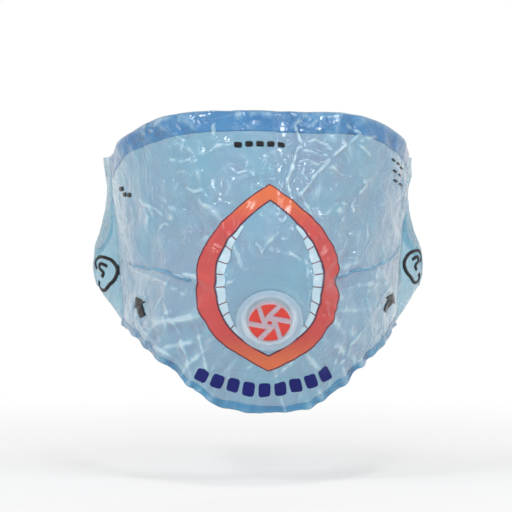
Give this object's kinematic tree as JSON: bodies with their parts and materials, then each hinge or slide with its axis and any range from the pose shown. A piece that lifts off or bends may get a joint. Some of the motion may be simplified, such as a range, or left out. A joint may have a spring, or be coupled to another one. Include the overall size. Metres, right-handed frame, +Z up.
{
  "type": "resuscitation face shield",
  "caption": "Clear film face shield in its worn shape, with a blue brow band, slotted ear loops and a round one-way mouth valve.",
  "frame": {"origin": "midway between the wearer's ears, at the head mount", "axes": "+Z up, +Y from the face towards the back of the head, +X to the right as seen from in front of the face"},
  "size_m": [0.167, 0.1444, 0.1372],
  "materials": {
    "clear_film": "thin clear polyethylene film with a light blue tint, creased and glossy",
    "blue_film": "translucent mid-blue film",
    "valve_plastic": "translucent moulded polypropylene",
    "red_silicone": "smooth red silicone",
    "filter_felt": "white non-woven filter"
  },
  "bodies": {
    "shield": {"face_film": "clear_film", "brow_band": "blue_film", "chin_band": "blue_film", "valve_housing": "valve_plastic", "disc_cage": "valve_plastic", "filter_disc": "filter_felt", "filter_guard": "valve_plastic", "clamp_ring": "valve_plastic"},
    "disc": {"valve_disc": "red_silicone"},
    "ear_loop_left": {"ear_loop_left": "clear_film"},
    "ear_loop_right": {"ear_loop_right": "clear_film"}
  },
  "joints": [
    {"name": "disc_slide", "type": "slide", "parent": "shield", "child": "disc", "axis": [0, 0.9063, 0.4226], "range_m": [0, 0.0012]},
    {"name": "ear_loop_left_fold", "type": "hinge", "parent": "shield", "child": "ear_loop_left", "pos_m": [-0.07044, -0.012, -0.0125], "axis": [-0.0897, 0, 0.996], "range_deg": [0, 80]},
    {"name": "ear_loop_right_fold", "type": "hinge", "parent": "shield", "child": "ear_loop_right", "pos_m": [0.07044, -0.012, -0.0125], "axis": [-0.0897, 0, -0.996], "range_deg": [0, 80]}
  ]
}
